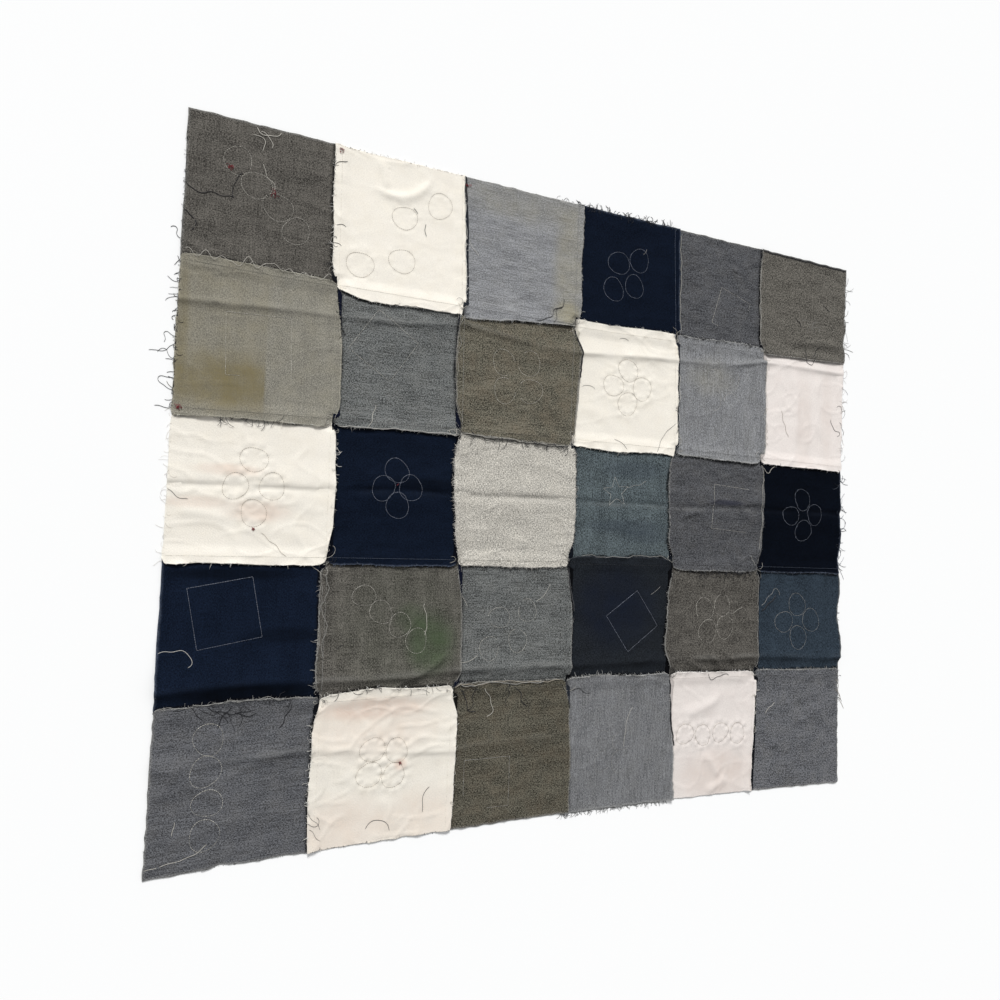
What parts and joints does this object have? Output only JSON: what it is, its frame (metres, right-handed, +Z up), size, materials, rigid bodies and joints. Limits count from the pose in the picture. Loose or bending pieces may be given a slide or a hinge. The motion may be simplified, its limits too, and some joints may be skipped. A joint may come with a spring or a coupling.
{
  "type": "patchwork quilt top",
  "caption": "Unlined patchwork quilt top of denim, chambray and canvas squares, lying opened out with its raw seams up.",
  "frame": {"origin": "middle of the quilt top's box, on the surface it lies on", "axes": "+X along a row of squares from the first column to the last, +Y from the last row to the first, +Z up out of the wrong side"},
  "size_m": [1.2544, 1.0382, 0.0086],
  "materials": {
    "charcoal_chambray": "dark warm grey chambray, wrong side",
    "cream_twill": "cream cotton twill, wrong side",
    "pale_chambray": "pale blue-grey slubbed chambray",
    "navy_denim": "deep navy denim",
    "iron_grey_denim": "neutral dark grey denim, wrong side",
    "umber_grey_twill": "warm grey twill, wrong side",
    "stone_chambray": "stone beige chambray with an old brown stain",
    "ash_grey_denim": "mid grey denim, wrong side",
    "olive_drab_twill": "olive brown-grey twill",
    "shell_white_twill": "faintly pink white twill",
    "oatmeal_canvas": "pale speckled canvas",
    "slate_blue_denim": "slate blue-grey denim, wrong side",
    "ink_black_denim": "near-black denim",
    "dark_slate_denim": "dark slate denim",
    "cut_thread": "loose cotton thread"
  },
  "bodies": {
    "root": {"patch_r1_c1": "charcoal_chambray", "patch_r1_c2": "cream_twill", "patch_r1_c3": "pale_chambray", "patch_r1_c4": "navy_denim", "patch_r1_c5": "iron_grey_denim", "patch_r1_c6": "umber_grey_twill", "patch_r2_c1": "stone_chambray", "patch_r2_c2": "ash_grey_denim", "patch_r2_c3": "olive_drab_twill", "patch_r2_c4": "cream_twill", "patch_r2_c5": "pale_chambray", "patch_r2_c6": "shell_white_twill", "patch_r3_c1": "cream_twill", "patch_r3_c2": "navy_denim", "patch_r3_c3": "oatmeal_canvas", "patch_r3_c4": "slate_blue_denim", "patch_r3_c5": "iron_grey_denim", "patch_r3_c6": "navy_denim", "patch_r4_c1": "navy_denim", "patch_r4_c2": "charcoal_chambray", "patch_r4_c3": "ash_grey_denim", "patch_r4_c4": "ink_black_denim", "patch_r4_c5": "charcoal_chambray", "patch_r4_c6": "dark_slate_denim", "patch_r5_c1": "iron_grey_denim", "patch_r5_c2": "cream_twill", "patch_r5_c3": "olive_drab_twill", "patch_r5_c4": "pale_chambray", "patch_r5_c5": "shell_white_twill", "patch_r5_c6": "iron_grey_denim", "frayed_left": "cut_thread", "frayed_right": "cut_thread", "frayed_top": "cut_thread", "frayed_bottom": "cut_thread"}
  },
  "joints": []
}
